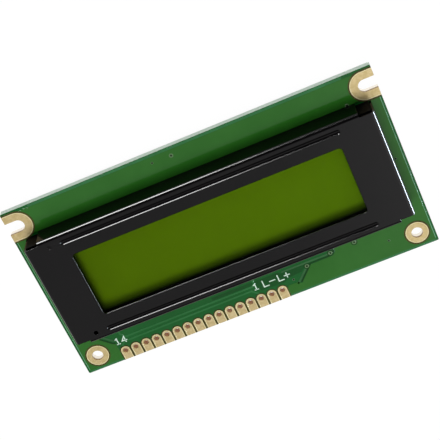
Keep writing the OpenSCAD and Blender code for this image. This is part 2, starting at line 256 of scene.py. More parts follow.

# %% [markdown]
# The lands are copper with a dull, slightly uneven plating of thin gold over nickel, which
# looks tan. Their rims look paler. The plating runs down the hole as a smoother wall, and
# its colour changes with depth as painted light and shade: the mounting holes' walls are
# painted paler deeper down, and the contacts' walls a darker brown, as painted shade. Round
# each land the bare laminate shows as a dark ring.

# %% Plating finishes
def plated_finish(name, tone, other, near_wall, deep_wall, change_mm, wall_metallic):
    """The flat land as mottled metal; the hole's wall goes from one colour to another with depth, as
    painted light and shade.
    """
    material = mottled(name, tone, other, 0.9, 0.34, 0.12, 0.004, metallic=0.35)
    tree = material.node_tree
    flat = tree.nodes["Principled BSDF"]
    height = add_node(tree, "SeparateXYZ", {"Vector": place(tree)})
    top, bottom = ((front_z - mm) * MM for mm in change_mm)
    depth = add_node(tree, "MapRange", {
        "Value": height.outputs["Z"], "From Min": top, "From Max": bottom
    })
    painted_depth_tones = {0: depth.outputs["Result"], 6: linear(near_wall), 7: linear(deep_wall)}
    tones = add_node(tree, "Mix", painted_depth_tones, data_type="RGBA")
    wall = add_node(tree, "BsdfPrincipled", {
        "Base Color": tones.outputs[2], "Roughness": 0.25, "Metallic": wall_metallic
    })
    parts = add_node(tree, "SeparateXYZ", {"Vector": add_node(tree, "NewGeometry").outputs["Normal"]})
    upright = add_node(tree, "Math", {0: parts.outputs["Z"]}, operation="ABSOLUTE")
    is_wall = add_node(tree, "Math", {0: upright.outputs["Value"], 1: WALL_BELOW}, operation="LESS_THAN")
    both = add_node(tree, "MixShader", {
        0: is_wall.outputs["Value"], 1: flat.outputs["BSDF"], 2: wall.outputs["BSDF"]
    })
    out = tree.nodes["Material Output"]
    tree.links.new(both.outputs["Shader"], out.inputs["Surface"])
    return material


# Gold plating is dull on the flat, because the copper below was brushed, and smooth in the holes.
# Its grain of 0.12 mm is coarser than the brushing, so that it shows.
# Painted light: the mounting holes' walls go from dark tan near the top to near white deeper down.
land_plating = plated_finish(
    "gold_plating_on_land", "#bda874", "#cdb98a", "#8a6a3c", "#fbf4e6", (0.25, 0.75), 0.85
)
# Painted shade: the contacts' hole walls go from tan near the top to dark brown deeper down.
contact_plating = plated_finish(
    "gold_plating_on_contact", "#bba775", "#ccb98c", "#c79a55", "#9a5a14", (0.1, 0.55), 0.5
)
pale_plating = mottled("gold_plating_on_rim", "#d9cc9a", "#e2d8aa", 0.8, 0.4, 0.12, 0.003, metallic=0.1)
# Bare laminate is matt and brown-green. The shade inside a via's hole is painted as a near-black disc.
bare_resin = mottled("bare_glass_epoxy", "#3a3408", "#4a4512", 1.5, 0.5, 0.2, 0.002)
dark_hole = mottled("painted_via_hole_shade", "#050a05", "#0c120a", 0.5, 0.7, 0.1, 0.002, ior=1.1)
paint(land_plating, "mounting_lands")
paint(contact_plating, "edge_contacts")

# %% [markdown]
# ## Thin shapes on the board
# Tracks, copper areas and printed letters are all flat shapes a few hundredths of a
# millimetre high, with slightly sloping sides. Each could be painted by a texture, but a
# real raised shape catches light along its sides as the copper does, and it can be
# measured. One function makes a plate from closed outlines; holes are outlines too.

# %% Flat plates from outlines
def area_of(loop):
    return sum(a[0] * b[1] - b[0] * a[1] for a, b in zip(loop, loop[1:] + loop[:1])) / 2


def shrunk(loop, amount):
    """The loop moved to its left side by amount, with sharp corners kept."""
    moved = []
    for before, here, after in zip(loop[-1:] + loop[:-1], loop, loop[1:] + loop[:1]):
        a = (Vector(here) - Vector(before)).normalized()
        b = (Vector(after) - Vector(here)).normalized()
        left_a, left_b = Vector((-a.y, a.x)), Vector((-b.y, b.x))
        middle = (left_a + left_b).normalized()
        reach = min(amount / max(middle.dot(left_a), 0.3), 3 * abs(amount)) if amount else 0
        moved.append(tuple(Vector(here) + middle * reach))
    return moved


def plate(groups, low, high, slope, verts, faces):
    """Adds closed flat plates. Each group is one outline and the holes in it."""
    for outline, *holes in groups:
        loops = [outline if area_of(outline) > 0 else outline[::-1]]
        loops += [hole if area_of(hole) < 0 else hole[::-1] for hole in holes]
        rings = []
        shoulder = high - slope if high > low else high + slope
        for height, inset in ((low, 0.0), (shoulder, 0.0), (high, slope)):
            rings.append([])
            for loop in loops:
                start = len(verts)
                verts.extend((x, y, height) for x, y in (shrunk(loop, inset) if inset else loop))
                rings[-1].append(range(start, start + len(loop)))
        for below, above in zip(rings, rings[1:]):
            for a, b in zip(below, above):
                for i in range(len(a)):
                    j = (i + 1) % len(a)
                    faces.append((a[i], a[j], b[j], b[i]))
        for ring in (rings[-1], rings[0]):
            order = [i for part in ring for i in part]
            flat = [[Vector((*verts[i][:2], 0)) for i in part] for part in ring]
            faces.extend(tuple(order[i] for i in tri) for tri in tessellate_polygon(flat))


# %% [markdown]
# The outlines give points and faces. A piece is made of them, its faces are turned to look
# outwards, and it rides on the part's one body, so it moves with the part.

# %% A piece from points and faces
def finish_piece(name, verts, faces, material):
    mesh = bpy.data.meshes.new(name)
    mesh.from_pydata([tuple(Vector(v) * MM) for v in verts], [], faces)
    mesh.materials.append(material)
    obj = bpy.data.objects.new(name, mesh)
    bpy.context.scene.collection.objects.link(obj)
    shape = bmesh.new()
    shape.from_mesh(mesh)
    bmesh.ops.recalc_face_normals(shape, faces=shape.faces)
    shape.to_mesh(mesh)
    shape.free()
    for face in mesh.polygons:
        face.use_smooth = False
    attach(obj, "root")
    print(name, "has", len(mesh.polygons), "faces")
    return obj


def flat_piece(name, groups, face, height, material, slope=0.012):
    """face is "front" or "back"; height is how far the plate stands above it."""
    sign = 1 if face == "front" else -1
    base = front_z if face == "front" else back_z
    verts, faces = [], []
    plate(groups, base - sign * 0.01, base + sign * height, slope, verts, faces)
    return finish_piece(name, verts, faces, material)


# %% [markdown]
# Every outline is built from three forms: an arc, a circle, and a line of one width with
# round ends, which is how a plotter draws a track and how a pen draws a letter.

# %% Outlines: arcs, circles and round-ended strokes
def arc(x, y, r, start_deg, end_deg, steps=24):
    span = [math.radians(start_deg + (end_deg - start_deg) * i / steps) for i in range(steps + 1)]
    return [(x + r * math.cos(a), y + r * math.sin(a)) for a in span]


def circle(x, y, r, steps=32):
    return arc(x, y, r, 0, 360, steps)[:-1]


def stroke(points, width, cap=6):
    """The outline of a line of that width along the points, with round ends."""
    path = [Vector(p) for p in points]
    left, right = [], []
    for i, here in enumerate(path):
        a = (here - path[i - 1]).normalized() if i else (path[1] - here).normalized()
        b = (path[i + 1] - here).normalized() if i + 1 < len(path) else a
        middle = (a + b).normalized()
        side = Vector((-middle.y, middle.x)) * (width / 2 / max(middle.dot(a), 0.4))
        left.append(tuple(here + side))
        right.append(tuple(here - side))
    start = math.degrees(math.atan2(*(path[0] - path[1]).yx))
    end = math.degrees(math.atan2(*(path[-1] - path[-2]).yx))
    head = arc(*path[-1], width / 2, end - 90, end + 90, cap)
    tail = arc(*path[0], width / 2, start - 90, start + 90, cap)
    return right[1:-1] + head + left[1:-1][::-1] + tail


print("a 2 mm circle has an area of", round(area_of(circle(0, 0, 2)), 2))

# %% [markdown]
# ## Copper on the front
# The copper area fills the board except where the contact tracks run: there bare resin under
# the mask makes the green darker. It stops 0.7 mm short of the slot side's edge, 0.45 mm
# short of the ends and 0.25 mm from each land. It isn't made under the bezel, where no one
# sees it. Its outline is one closed loop, with the two round lands cut out of it.

# %% Copper area on the front
copper_h = 0.035
end_gap, side_gap, land_gap = 0.45, 0.7, 0.25
hole_xy, hole_land_r = (38.2, -18.4), 2.6
slot_xy, slot_land_r = (39.5, 18.1), 3.25
pour_x, pour_y = half_l - end_gap, half_w - side_gap
sheet_t, frame_play, past_wall = 0.4, 0.15, 0.03
wall_out = sheet_t + frame_play + past_wall
wall_x, wall_low, wall_high = frame_high.x + wall_out, frame_low.y - wall_out, frame_high.y + wall_out
round_slot = slot_land_r + land_gap
slot_top_deg = math.degrees(math.asin((pour_y - slot_xy[1]) / round_slot))
pour_low = half_w - 0.1
copper_edge = [(-33.2, -pour_low), (-pour_x, -pour_low), (-pour_x, slot_xy[1] - round_slot)]
copper_edge += arc(-slot_xy[0], slot_xy[1], round_slot, -90, slot_top_deg)
copper_edge += arc(slot_xy[0], slot_xy[1], round_slot, 180 - slot_top_deg, 270)
copper_edge += [(pour_x, slot_xy[1] - round_slot), (pour_x, -pour_low), (7.4, -pour_low), (7.4, -19.8)]
copper_edge += [(8.0, -19.2), (10.2, -19.35), (10.75, -19.85), (11.0, -19.75), (14.25, -16.3)]
copper_edge += [(19.5, -16.2), (20.25, -15.5), (20.25, wall_low)]
copper_edge += [(wall_x, wall_low), (wall_x, wall_high), (-wall_x, wall_high), (-wall_x, wall_low)]
copper_edge += [(-36.2, wall_low), (-36.2, -14.9), (-33.9, -17.1), (-33.2, -17.4)]
hole_gaps = [circle(side * hole_xy[0], hole_xy[1], hole_land_r + land_gap, 48) for side in (-1, 1)]
flat_piece(
    "copper_area_front", [[copper_edge, *hole_gaps]], "front", copper_h, mask_on_copper,
)

# %% [markdown]
# Two bands follow the edge of every land: the bare ring outside it and the paler rim on it.
# Both come from one function, which takes how far the band reaches out and in.

# %% Outlines of the lands
contact_xs = [-31.9 + 2.54 * i for i in range(16)]
contact_y, contact_w = -19.75, 2.2


def contact_outline(x, grow=0.0):
    r = contact_w / 2 + grow
    return [(x + r, -half_w)] + arc(x, contact_y, r, 0, 180, 20) + [(x - r, -half_w)]


def slot_land_outline(side, r):
    y = slot_xy[1]
    curve = [(side * px, py) for px, py in arc(slot_xy[0], y, r, 270, 90, 28)]
    points = [(half_l * side, y - r)] + curve + [(half_l * side, y + r)]
    return [(px, min(py, half_w)) for px, py in points]


def land_bands(out_mm, in_mm, contact_out_mm):
    """Bands along the edges of the two round lands, the two slot lands and the contacts."""
    bands = []
    for side in (-1, 1):
        x, y = side * hole_xy[0], hole_xy[1]
        bands.append([circle(x, y, hole_land_r + out_mm, 48), circle(x, y, hole_land_r - in_mm, 48)])
    for side in (-1, 1):
        outer = slot_land_outline(side, slot_land_r + out_mm)
        bands.append([outer + slot_land_outline(side, slot_land_r - in_mm)[::-1]])
    for x in contact_xs:
        bands.append([contact_outline(x, contact_out_mm) + contact_outline(x, -in_mm)[::-1]])
    return bands


print("contacts from x", contact_xs[0], "to", round(contact_xs[-1], 2))

# %% Bare rings and paler rims
ring_out, ring_in, contact_ring_out, ring_h = 0.27, 0.06, 0.168, 0.072
rim_w, rim_h = 0.24, 0.066
bare_rings = land_bands(ring_out, ring_in, contact_ring_out)
pale_rims = land_bands(0.0, rim_w, 0.0)
for face in ("front", "back"):
    flat_piece(
        "bare_rings_" + face, bare_rings, face, ring_h, bare_resin, slope=0.004
    )
for face in ("front", "back"):
    flat_piece("pale_rims_" + face, pale_rims, face, rim_h, pale_plating, slope=0.004)

# %% [markdown]
# Small plated holes, called vias, carry a track from one face to the other. Each is a ring
# of copper under the mask round the hole, and the shade inside the hole is painted as a
# near-black disc on top. Where a via of another line stands in the copper area, a gap round
# it keeps the two apart.

# %% Vias on the front
vias = [(-3.0, 19.9), (13.3, -16.35), (19.15, -15.4), (24.85, -15.05), (34.6, 15.4)]
small_vias = [(-7.35, 19.93), (31.9, -17.8), (9.4, -18.3), (39.8, 0.05)]
# Mask is thinnest on a via's raised ring, so the copper gives it a greyer, paler green.
via_copper = mottled("thin_mask_on_via_ring", "#4f7048", "#5f8054", 0.4, 0.3, 0.1, 0.002)
via_h, via_shade_h = 0.05, 0.038
via_rings = [[circle(x, y, 0.48, 20), circle(x, y, 0.22, 20)] for x, y in vias]
via_rings += [[circle(x, y, 0.3, 16), circle(x, y, 0.2, 16)] for x, y in small_vias]
flat_piece("via_rings_front", via_rings, "front", via_h, via_copper)
# Painted shade: a near-black disc stands over each via's hole for the shade inside it.
via_shade_discs = [[circle(x, y, 0.225, 16)] for x, y in vias + small_vias]
flat_piece("painted_via_hole_shade_front", via_shade_discs, "front", via_shade_h, dark_hole, slope=0.002)
mask_in_gap = mottled(
    "green_mask_in_gap", "#023404", "#043a08", 5.0, 0.08, 0.25, 0.0003, rough_spread=0.01
)
gaps = [[circle(x, y, 0.72, 24), circle(x, y, 0.46, 24)] for x, y in vias[1:4]]
flat_piece("via_gaps_front", gaps, "front", 0.0365, mask_in_gap, slope=0.001)

# %% [markdown]
# Two long tracks join the contacts, and three short ones feed the lamp. They are copper
# under the mask, so each is a raised line, and beside a copper area a dark gap keeps it
# apart. One area has no copper on the other face either, and its green is the deepest.

# %% Tracks on the front
track_w, lamp_track_w, gap_w = 0.45, 0.42, 0.3
contact_tracks = [
    [
        (-31.3, wall_low), (-31.3, -15.4), (-30.3, -16.44), (-26.0, -16.42), (-10.0, -16.33),
        (0.4, -16.3), (1.0, -15.7), (1.0, wall_low),
    ],
    [
        (-31.9, -18.5), (-31.9, -18.1), (-31.2, -17.5), (-22.0, -17.42), (-10.0, -17.32), (-0.2, -17.25),
        (1.12, -18.5),
    ],
]
lamp_tracks = [
    [(7.8, -15.5), (18.6, -15.45)], [(13.1, -16.6), (10.1, -19.6)],
    [(-35.2, wall_low), (-35.2, -14.7), (-33.3, -16.5)],
]
gap_lines = [
    [(13.9, -16.0), (19.3, -15.98), (19.9, -15.4), (19.9, wall_low)],
    [(14.1, -16.25), (10.9, -19.5)],
    [(-36.1, -14.5), (-35.9, -14.95), (-33.9, -16.85), (-33.3, -17.1)],
]
flat_piece(
    "contact_tracks_front", [[stroke(t, track_w)] for t in contact_tracks], "front", copper_h,
    mask_on_track,
)
flat_piece(
    "lamp_tracks_front", [[stroke(t, lamp_track_w)] for t in lamp_tracks], "front", copper_h,
    mask_on_strip,
)
flat_piece(
    "gap_lines_front", [[stroke(t, gap_w)] for t in gap_lines], "front", 0.03, mask_in_gap,
    slope=0.004,
)
deepest_area = [
    (-9.0, -15.2), (-9.0, -15.95), (0.3, -15.95), (0.8, -15.5), (1.2, -16.2), (1.9, -18.0), (7.3, -18.2),
    (8.4, -17.5), (11.8, -17.2), (13.2, -15.95), (13.2, -15.75), (7.4, -15.75), (6.8, -15.2),
]
flat_piece(
    "single_sided_area_front", [[deepest_area]], "front", 0.012, mask_on_bare,
    slope=0.004,
)

# %% [markdown]
# Along the board's edge the mask is drawn in a slightly lighter green, as a strip on the long
# sides. A pale line where the copper area ends beside the short sides is a painted highlight
# along the copper's raised edge.

# %% Thin mask along the edges
# The pale line along the copper's edge is a painted highlight, paler and duller than the mask round it.
side_line_w, strip_w, edge_h = 0.14, 0.5, 0.037
line_x, line_top = pour_x - 0.05, slot_xy[1] - round_slot - 0.1
edge_lines = [[(side * line_x, -pour_y + 0.1), (side * line_x, line_top)] for side in (-1, 1)]
strip_low, strip_high = -half_w + 0.02, -half_w + strip_w
edge_strip = [
    [(-35.6, pour_y + 0.02), (35.6, pour_y + 0.02), (35.6, half_w - 0.12), (-35.6, half_w - 0.12)],
    [(-pour_x, strip_low), (-33.3, strip_low), (-33.3, strip_high), (-pour_x, strip_high)],
    [(7.4, strip_low), (pour_x, strip_low), (pour_x, strip_high), (7.4, strip_high)],
]
# The strip along the board's long edges is a slightly lighter, bluer green than the copper area.
mask_on_edge = mottled(
    "lighter_mask_at_board_edge", "#2a6b3a", "#317443", 5.0, 0.1, 0.25, 0.0003, rough_spread=0.01
)
flat_piece(
    "board_edge_strip", [[strip] for strip in edge_strip], "front", edge_h, mask_on_edge,
    slope=0.004,
)
copper_edge_highlight = mottled("painted_highlight_at_copper_edge", "#5f9a72", "#6fa882", 2.0, 0.2, 0.2, 0.0005)
flat_piece(
    "copper_side_lines", [[stroke(t, side_line_w)] for t in edge_lines], "front", edge_h, copper_edge_highlight,
    slope=0.004,
)

# %% [markdown]
# ## Printed marks
# The first and last contact, and the two for the lamp, are marked in white ink. The printer
# draws a letter with strokes of one width, so they are made from the same strokes and not
# from a typeface. The places of the marks are their lower left corners.

# %% Letters from strokes
letter_strokes = {
    "1": [[(0.2, 0.86), (0.5, 1.0), (0.5, 0.0)], [(0.18, 0.0), (0.82, 0.0)]],
    "4": [[(0.68, 0.0), (0.68, 1.0), (0.08, 0.3), (0.95, 0.3)]],
    "L": [[(0.08, 1.0), (0.08, 0.0), (0.9, 0.0)]],
    "-": [[(0.05, 0.5), (0.95, 0.5)]],
    "+": [[(0.05, 0.5), (0.95, 0.5)], [(0.5, 0.1), (0.5, 0.9)]],
}


def letters(marks, width):
    """marks are (letter, x, y, wide, high) with x, y at the letter's lower left corner."""
    groups = []
    for letter, x, y, wide, high in marks:
        for line in letter_strokes[letter]:
            groups.append([stroke([(x + px * wide, y + py * high) for px, py in line], width)])
    return groups


# Epoxy printing ink, screened on thin: matt, and faintly green from the mask below.
# Its grain of 0.08 mm is that of the screen.
ink = mottled("white_printing_ink", "#cfead8", "#dff3e2", 0.6, 0.55, 0.08, 0.002)
front_marks = [
    ("1", -33.15, -17.68, 1.1, 1.5),
    ("4", -31.7, -17.68, 1.3, 1.5),
    ("1", 0.5, -17.32, 1.15, 1.45),
    ("L", 2.75, -17.4, 1.35, 1.55),
    ("-", 4.35, -17.35, 1.35, 1.5),
    ("L", 6.3, -17.4, 1.35, 1.55),
    ("+", 7.8, -17.3, 1.3, 1.4),
]
pen_w, ink_h = 0.26, 0.05
flat_piece("printed_marks_front", letters(front_marks, pen_w), "front", ink_h, ink, slope=0.01)

# %% [markdown]
# ## The bezel
# The bezel is pressed from steel sheet and painted black. The paint is smooth, so the flat
# face shows a dim, even mirror of the room and the folds show bright lines. The folds,
# grooves and rims are in the solid, so the finish adds only a very fine orange peel.

# %% Bezel and plastic finishes
# Baked enamel on steel: an even black with a soft mirror. Orange peel is about 0.5 mm across,
# and the paint pulls back from sharp edges, so they catch a thin line of light.
black_paint = mottled(
    "black_enamel", "#030203", "#060405", 12.0, 0.17, 0.5, 0.0008, rough_spread=0.02, edge_mm=0.07
)
# Moulded ABS with a fine spark-eroded texture: it looks darker and duller than the enamel.
black_plastic = mottled("moulded_black_abs", "#030303", "#050505", 3.0, 0.35, 0.15, 0.002, ior=1.08)
paint(black_paint, "bezel")
paint(black_plastic, "lcd_frame")

# %% [markdown]
# ## The display
# The olive colour sits behind the glass, on the rear polarizer, almost 3 mm below the
# bezel's face. Light has to get in under one side of the window and out again, so the
# colour is dark along the sides. If the glass lets light through, part of that happens by
# itself: the glass and the front polarizer are clear here, with only a trace of shine. The
# film's finish adds painted shade along the window's edges on top of that, and painted light
# that makes one end brighter. A shadow or a soft bounce through three clear sheets would
# use up the light's bounces and turn the film black, so those sheets are left out of both.

# %% Display finishes
def clear_sheet(name, tint, shine):
    material, tree = new_finish(name)
    where = place(tree)
    dust = add_node(tree, "TexNoise", {"Vector": where, "Scale": per_metre(3.0), "Detail": 3.0})
    amount = add_node(tree, "MapRange", {
        "Value": dust.outputs["Fac"], "To Min": shine * 0.6, "To Max": shine * 1.4
    })
    through = add_node(tree, "BsdfTransparent", {"Color": linear(tint)})
    gloss = add_node(tree, "BsdfGlossy", {"Roughness": 0.12})
    both = add_node(tree, "MixShader", {
        0: amount.outputs["Result"], 1: through.outputs["BSDF"], 2: gloss.outputs["BSDF"]
    })
    close_finish(tree, both.outputs["Shader"])
    return material


def olive_film(name, dim_end, bright_end):
    """A film painted brighter towards one end, as painted light, and darkened by painted shade towards
    its edges round the window.
    """
    material, tree = new_finish(name)
    where = place(tree)
    along = add_node(tree, "SeparateXYZ", {"Vector": where})
    low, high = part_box("rear_polarizer")
    # Painted light: the film's colour brightens along X from the dim end to the bright end.
    painted_light_along_x = add_node(tree, "MapRange", {
        "Value": along.outputs["X"], "From Min": low.x, "From Max": high.x
    })
    end_tones = {0: painted_light_along_x.outputs["Result"], 6: linear(dim_end), 7: linear(bright_end)}
    tones = add_node(tree, "Mix", end_tones, data_type="RGBA")
    grain = add_node(tree, "TexNoise", {"Vector": where, "Scale": per_metre(4.0), "Detail": 4.0})
    light = add_node(tree, "MapRange", {"Value": grain.outputs["Fac"], "To Min": 0.93, "To Max": 1.07})
    toned = add_node(tree, "VectorMath", {
        0: tones.outputs[2], 1: light.outputs["Result"]
    }, operation="MULTIPLY")
    middle = (low + high) / 2
    # Painted shade: towards the edges round the window the colour falls to black, from fully lit at
    # lit_x and lit_y to dark at dark_x and dark_y from the film's middle.
    dark_x, lit_x, dark_y, lit_y = 31.5, 30.0, 8.9, 8.0
    from_middle = add_node(tree, "VectorMath", {0: where, 1: middle}, operation="SUBTRACT")
    one_side = add_node(tree, "VectorMath", {0: from_middle.outputs["Vector"]}, operation="ABSOLUTE")
    reach = add_node(tree, "SeparateXYZ", {"Vector": one_side.outputs["Vector"]})
    across_x = add_node(tree, "MapRange", {
        "Value": reach.outputs["X"], "From Min": dark_x * MM, "From Max": lit_x * MM
    })
    across_y = add_node(tree, "MapRange", {
        "Value": reach.outputs["Y"], "From Min": dark_y * MM, "From Max": lit_y * MM
    })
    lit = add_node(tree, "Math", {
        0: across_x.outputs["Result"], 1: across_y.outputs["Result"]
    }, operation="MULTIPLY")
    shaded = add_node(tree, "VectorMath", {
        0: toned.outputs["Vector"], 1: lit.outputs["Value"]
    }, operation="MULTIPLY")
    body = add_node(tree, "BsdfPrincipled", {
        "Base Color": shaded.outputs["Vector"], "Roughness": 0.8, "IOR": 1.05
    })
    close_finish(tree, body.outputs["BSDF"])
    return material


# Polarizer film and soda-lime glass are clear and smooth: both only dim what lies behind.
front_film = clear_sheet("front_polarizer_film", "#f6faf0", 0.001)
glass = clear_sheet("display_glass", "#fbfefb", 0.0005)
paint(front_film, "front_polarizer")
paint(glass, "front_glass", "rear_glass")
for clear in ("front_polarizer", "front_glass", "rear_glass"):
    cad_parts[clear].visible_shadow = False
    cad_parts[clear].visible_diffuse = False
# The rear polarizer is a matt film with a silvery back. With the yellow-green lamps it looks
# olive. The seal is a black glue line round the cell, seen only as darkness.
# Its finish paints one end brighter and paints shade along the window's edges.
paint(olive_film("rear_polarizer_film", "#536a04", "#587408"), "rear_polarizer")
paint(mottled("black_seal_glue", "#050504", "#090908", 1.0, 0.5, 0.2, 0.003, ior=1.1), "cell_seal")

# %% [markdown]
# Behind the film lie a diffuser, an acrylic light guide and a reflector, with four lamps on a
# strip at one end. Conductive rubber strips join the glass to the board. Almost nothing of
# them shows, but whoever takes the part apart finds each with its own finish.

# %% Parts behind the display
# Polyester film is a matt white, cast acrylic is clear and pale green at its edge, and the
# lamp board's white mask reflects. Phosphor makes the lamps amber, and silicone is matt.
white_film = mottled("white_polyester_film", "#ecebe2", "#f4f3ec", 4.0, 0.55, 0.3, 0.001)
clear_acrylic = mottled("cast_acrylic", "#dfe8de", "#e8efe6", 5.0, 0.2, 0.5, 0.001)
paint(white_film, "diffuser_film", "reflector_film")
paint(clear_acrylic, "light_guide")
paint(mottled("white_lamp_board", "#e2e2da", "#ecece6", 1.5, 0.45, 0.2, 0.001), "led_board")
paint(mottled("amber_lamp", "#c9a83a", "#d6b84c", 0.6, 0.35, 0.1, 0.002), "backlight_leds")
paint(
    mottled("pink_silicone", "#b98f8a", "#c79d97", 1.2, 0.6, 0.1, 0.003), "zebra_strip_slot_side",
    "zebra_strip_contact_side",
)

# %% [markdown]
# ## The back
# Two chips sit straight on the board under drops of black epoxy. The drops set glossy, with
# a slightly wavy surface. Solder is bright and uneven, because it froze as a drop. The chip
# resistors are black glass on ceramic between tinned ends, and the capacitors are tan ceramic.

# %% Finishes on the back
# Tin is bright with a fine grain, solder is brighter and lumpy, and cured epoxy is a smooth
# black with waves about 1.2 mm long. Fired ceramic is matt, and a silicon chip is dark grey.
tinned = mottled("tinned_metal", "#c4c6c8", "#d2d3d3", 0.5, 0.3, 0.15, 0.004, metallic=1.0)
solder = mottled("frozen_solder", "#b9bcbe", "#cdcfd0", 0.4, 0.28, 0.3, 0.02, metallic=1.0)
epoxy = mottled("black_epoxy", "#0d0d0e", "#121213", 3.0, 0.22, 1.2, 0.02)
silicon = mottled("silicon", "#3c3f46", "#484b52", 0.8, 0.25, 0.1, 0.001)
ceramic_black = mottled("black_ceramic", "#141416", "#1b1b1d", 0.5, 0.45, 0.1, 0.004)
ceramic_tan = mottled("tan_ceramic", "#a58a62", "#b39870", 0.5, 0.5, 0.1, 0.004)
paint(tinned, "backlight_pins")
paint(solder, "pin_solder", "chip_solder")
paint(epoxy, "controller_epoxy", "driver_epoxy")
paint(silicon, "controller_die", "driver_die")
paint(ceramic_black, "chip_resistors")
paint(ceramic_tan, "chip_capacitors")

# %% [markdown]
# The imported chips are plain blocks. Each real one has a metal cap on both ends, wrapped a
# little way along. A cap is a block with its corners cut, a little larger than the chip.

# %% Caps on the chips
resistor_places = [(x, -12.6, 90) for x in (-26, -22.5, -19, -15.5, -12)]
resistor_places += [(x, -9.5, 0) for x in (26.5, 30.5, 34.5)]
capacitor_places = [(x, 9.2, 90) for x in (25.5, 29.5)]
cap_wrap, cap_skin = 0.35, 0.03


def block(verts, faces, x, y, turn_deg, size, shift, z_low, z_high, round_mm=0.05):
    """A box with its eight corners cut, placed along a chip's length."""
    a = math.radians(turn_deg)
    long_half, wide_half = size[0] / 2, size[1] / 2
    levels = [(z_low, round_mm), (z_low + round_mm, 0), (z_high - round_mm, 0), (z_high, round_mm)]
    start = len(verts)
    for z, cut in levels:
        lx, ly = long_half - cut, wide_half - cut
        c = round_mm
        outline = [
            (lx - c, -ly), (lx, -ly + c), (lx, ly - c), (lx - c, ly), (-lx + c, ly), (-lx, ly - c),
            (-lx, -ly + c), (-lx + c, -ly),
        ]
        for px, py in outline:
            px += shift
            verts.append(
                (x + px * math.cos(a) - py * math.sin(a), y + px * math.sin(a) + py * math.cos(a), z)
            )
    for level in range(3):
        for i in range(8):
            j = (i + 1) % 8
            a0, b0 = start + 8 * level, start + 8 * (level + 1)
            faces.append((a0 + i, a0 + j, b0 + j, b0 + i))
    faces.append(tuple(start + i for i in range(8)))
    faces.append(tuple(start + 24 + i for i in range(8)))


def chip_caps(name, places, size, material):
    verts, faces = [], []
    for x, y, turn in places:
        for side in (-1, 1):
            shift = side * (size[0] / 2 - cap_wrap / 2)
            block(
                verts, faces, x, y, turn, (cap_wrap + 2 * cap_skin, size[1] + 2 * cap_skin), shift,
                back_z - size[2] - cap_skin, back_z - 0.01, 0.04,
            )
    return finish_piece(name, verts, faces, material)


chip_caps("resistor_caps", resistor_places, (2.0, 1.25, 0.5), tinned)
chip_caps("capacitor_caps", capacitor_places, (2.0, 1.25, 0.9), tinned)

# %% [markdown]
# ## Copper on the back
# From each chip, fine tracks fan out under the epoxy to a ring of vias, and a bus of
# parallel tracks joins the two chips. Each contact has a short straight track of its own.
# The layout is a likely one for such a module, made by rule and not point by point.

# %% Fans, buses and contact tracks on the back
dome_x, dome_r = 14.5, 7.6
fan_start_r, near_via_r, far_via_r, bus_deg = 7.2, 8.7, 9.6, 26
fan, fan_vias = [], []
for side in (-1, 1):
    for i in range(36):
        a = math.radians(i * 10 + 5)
        out_r = far_via_r if i % 2 else near_via_r
        from_inward_deg = abs(math.degrees(math.atan2(math.sin(a), -side * math.cos(a))))
        if from_inward_deg < bus_deg:
            continue
        start = (side * dome_x + fan_start_r * math.cos(a), fan_start_r * math.sin(a))
        stop = (side * dome_x + out_r * math.cos(a), out_r * math.sin(a))
        fan.append([start, stop])
        fan_vias.append(stop)
bus_reach = dome_x - 7.0
bus = [[(-bus_reach, y), (bus_reach, y)] for y in (-2.7, -1.8, -0.9, 0.0, 0.9, 1.8, 2.7)]
to_contacts = []
back_track_w, knee_y, knee_step, middle_contact = 0.22, -16.6, 0.12, 6
for i, x in enumerate(contact_xs[:14]):
    knee = knee_y + knee_step * abs(i - middle_contact)
    to_contacts.append([(x, contact_y + 1.0), (x, knee), (x, knee + 1.2)])
back_groups = [[stroke(t, back_track_w)] for t in fan + bus + to_contacts]
flat_piece("tracks_back", back_groups, "back", copper_h, mask_on_track)
back_vias = fan_vias + vias + small_vias
ring_groups = [[circle(x, y, 0.34, 16), circle(x, y, 0.16, 16)] for x, y in back_vias]
# Painted shade: near-black discs over the via holes, as on the front.
back_via_shade_discs = [[circle(x, y, 0.165, 12)] for x, y in back_vias]
flat_piece("via_rings_back", ring_groups, "back", via_h, via_copper)
flat_piece("painted_via_hole_shade_back", back_via_shade_discs, "back", via_shade_h, dark_hole, slope=0.002)

# %% [markdown]
# The print on the back shows where parts go: two lines beside each chip and a ring round
# each dome, which also stops the epoxy from spreading when it is poured.

# %% Marks on the back
side_out, side_half, back_pen_w, back_ink_h = 1.0, 1.75, 0.16, 0.055
box_marks = []
for x, y, turn in resistor_places + capacitor_places:
    for side in (-side_out, side_out):
        if turn:
            box_marks.append([(x + side, y - side_half), (x + side, y + side_half)])
        else:
            box_marks.append([(x - side_half, y + side), (x + side_half, y + side)])
dome_rings = [
    [circle(side * dome_x, 0, dome_r + 0.55, 64), circle(side * dome_x, 0, dome_r + 0.35, 64)]
    for side in (-1, 1)
]
flat_piece(
    "printed_marks_back", [[stroke(t, back_pen_w)] for t in box_marks] + dome_rings, "back",
    back_ink_h, ink, slope=0.01,
)

# %% [markdown]
# ## Floor and light
# The module lies on a pale floor. Its white comes from the floor's own glow, which only
# direct looks, mirrors and glass see, so it adds no light to the object. The matt part
# under the glow still takes the object's shadow.

